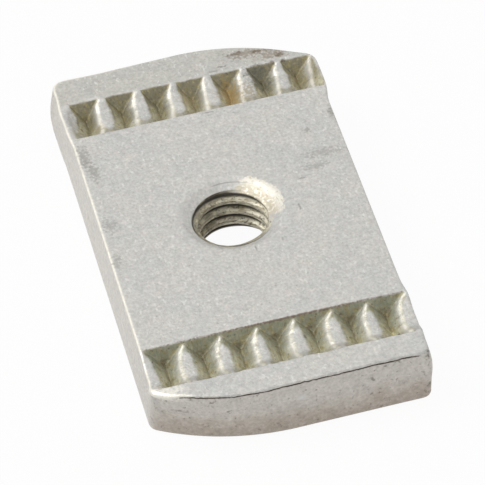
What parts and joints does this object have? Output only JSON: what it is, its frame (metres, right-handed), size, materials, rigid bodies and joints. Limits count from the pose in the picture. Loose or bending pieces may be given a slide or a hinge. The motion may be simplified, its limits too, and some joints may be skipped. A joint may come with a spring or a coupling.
{
  "type": "strut channel nut",
  "caption": "Flat zinc-plated channel nut that turns a quarter turn in a strut channel, with a pressed tooth row near each end and a countersunk threaded hole.",
  "frame": {"origin": "on the bolt hole's axis, at the flat underside", "axes": "+Z out of the toothed face along the bolt hole, +Y along the nut's length, +X across it; the rounded lead corners are at +X+Y and -X-Y"},
  "size_m": [0.0194, 0.0348, 0.005],
  "materials": {
    "zinc_steel": "matte grey zinc plating, a little worn at the edges and stained in the pits"
  },
  "bodies": {
    "root": {"channel_nut": "zinc_steel"}
  },
  "joints": []
}
